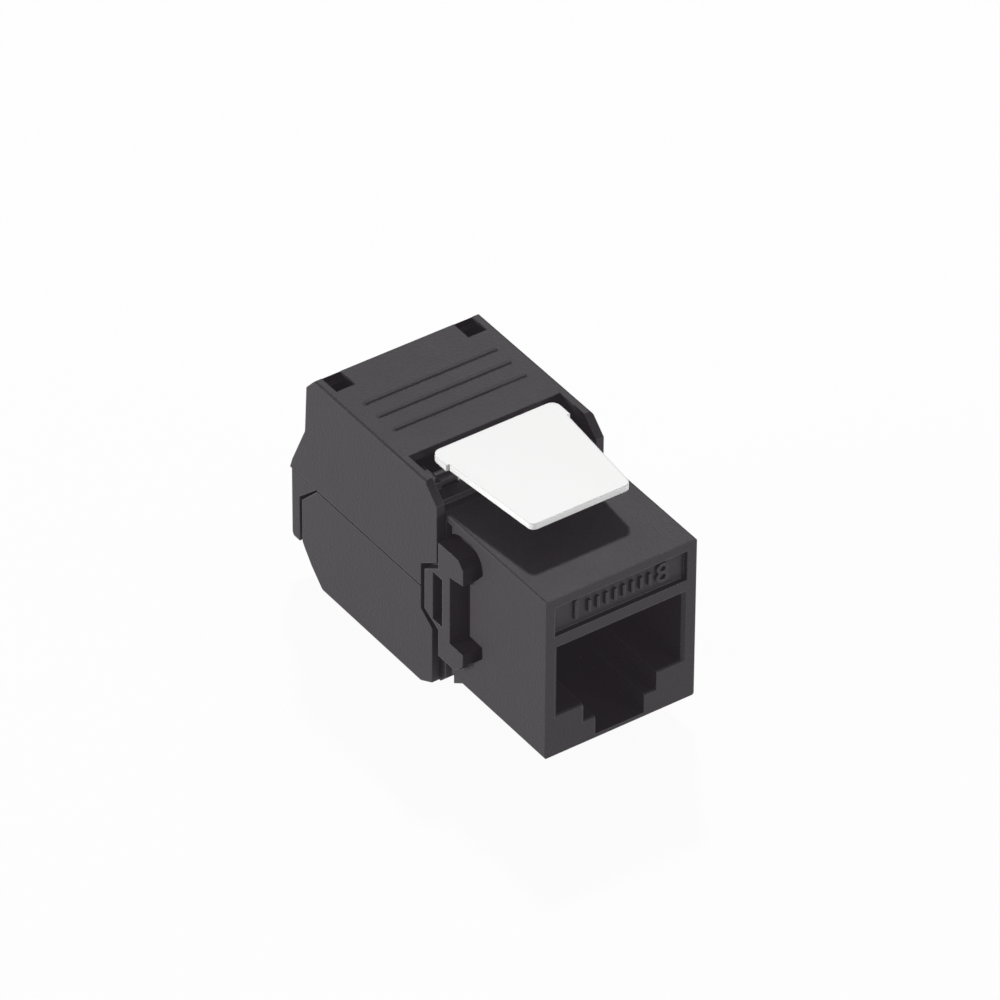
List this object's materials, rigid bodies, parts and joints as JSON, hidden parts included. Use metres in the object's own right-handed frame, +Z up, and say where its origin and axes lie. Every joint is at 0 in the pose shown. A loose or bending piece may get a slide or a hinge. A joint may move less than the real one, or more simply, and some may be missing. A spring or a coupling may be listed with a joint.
{
  "type": "keystone jack",
  "caption": "Unshielded keystone jack with a square plug port, a white spring latch on its roof and two hinged covers that press the cable wires home.",
  "frame": {"origin": "bottom centre of the jack's bounding box: mid width, mid length, level of the lower cover's flat underside", "axes": "+Z up towards the latch tab, -Y towards the plug port, +X to the right seen from the port"},
  "size_m": [0.0164, 0.0352, 0.0216],
  "materials": {
    "housing_plastic": "fine satin black moulding",
    "core_plastic": "fine satin black moulding",
    "cover_plastic": "spark-eroded matt black moulding",
    "latch_plastic": "smooth white moulding",
    "carrier_plastic": "black glass-filled moulding",
    "board_laminate": "green solder mask",
    "contact_plating": "gold-plated spring bronze"
  },
  "bodies": {
    "jack": {"front_housing": "housing_plastic", "core_block": "core_plastic", "contact_carrier": "carrier_plastic", "circuit_board": "board_laminate", "spring_contact_1": "contact_plating", "spring_contact_2": "contact_plating", "spring_contact_3": "contact_plating", "spring_contact_4": "contact_plating", "spring_contact_5": "contact_plating", "spring_contact_6": "contact_plating", "spring_contact_7": "contact_plating", "spring_contact_8": "contact_plating", "upper_wire_contact_1": "contact_plating", "upper_wire_contact_2": "contact_plating", "upper_wire_contact_3": "contact_plating", "upper_wire_contact_4": "contact_plating", "lower_wire_contact_1": "contact_plating", "lower_wire_contact_2": "contact_plating", "lower_wire_contact_3": "contact_plating", "lower_wire_contact_4": "contact_plating"},
    "upper_cover": {"upper_cover": "cover_plastic"},
    "lower_cover": {"lower_cover": "cover_plastic"},
    "latch": {"latch_tab": "latch_plastic"}
  },
  "joints": [
    {"name": "upper_cover_hinge", "type": "hinge", "parent": "jack", "child": "upper_cover", "pos_m": [0, -0.00232, 0.018], "axis": [1, 0, 0], "range_deg": [0, 85]},
    {"name": "lower_cover_hinge", "type": "hinge", "parent": "jack", "child": "lower_cover", "pos_m": [0, -0.00143, 0.0041], "axis": [-1, 0, 0], "range_deg": [0, 50]},
    {"name": "latch_press", "type": "hinge", "parent": "jack", "child": "latch", "pos_m": [0, -0.00032, 0.01915], "axis": [1, 0, 0], "range_deg": [0, 8], "stiffness_Nm_per_rad": 0.15}
  ]
}
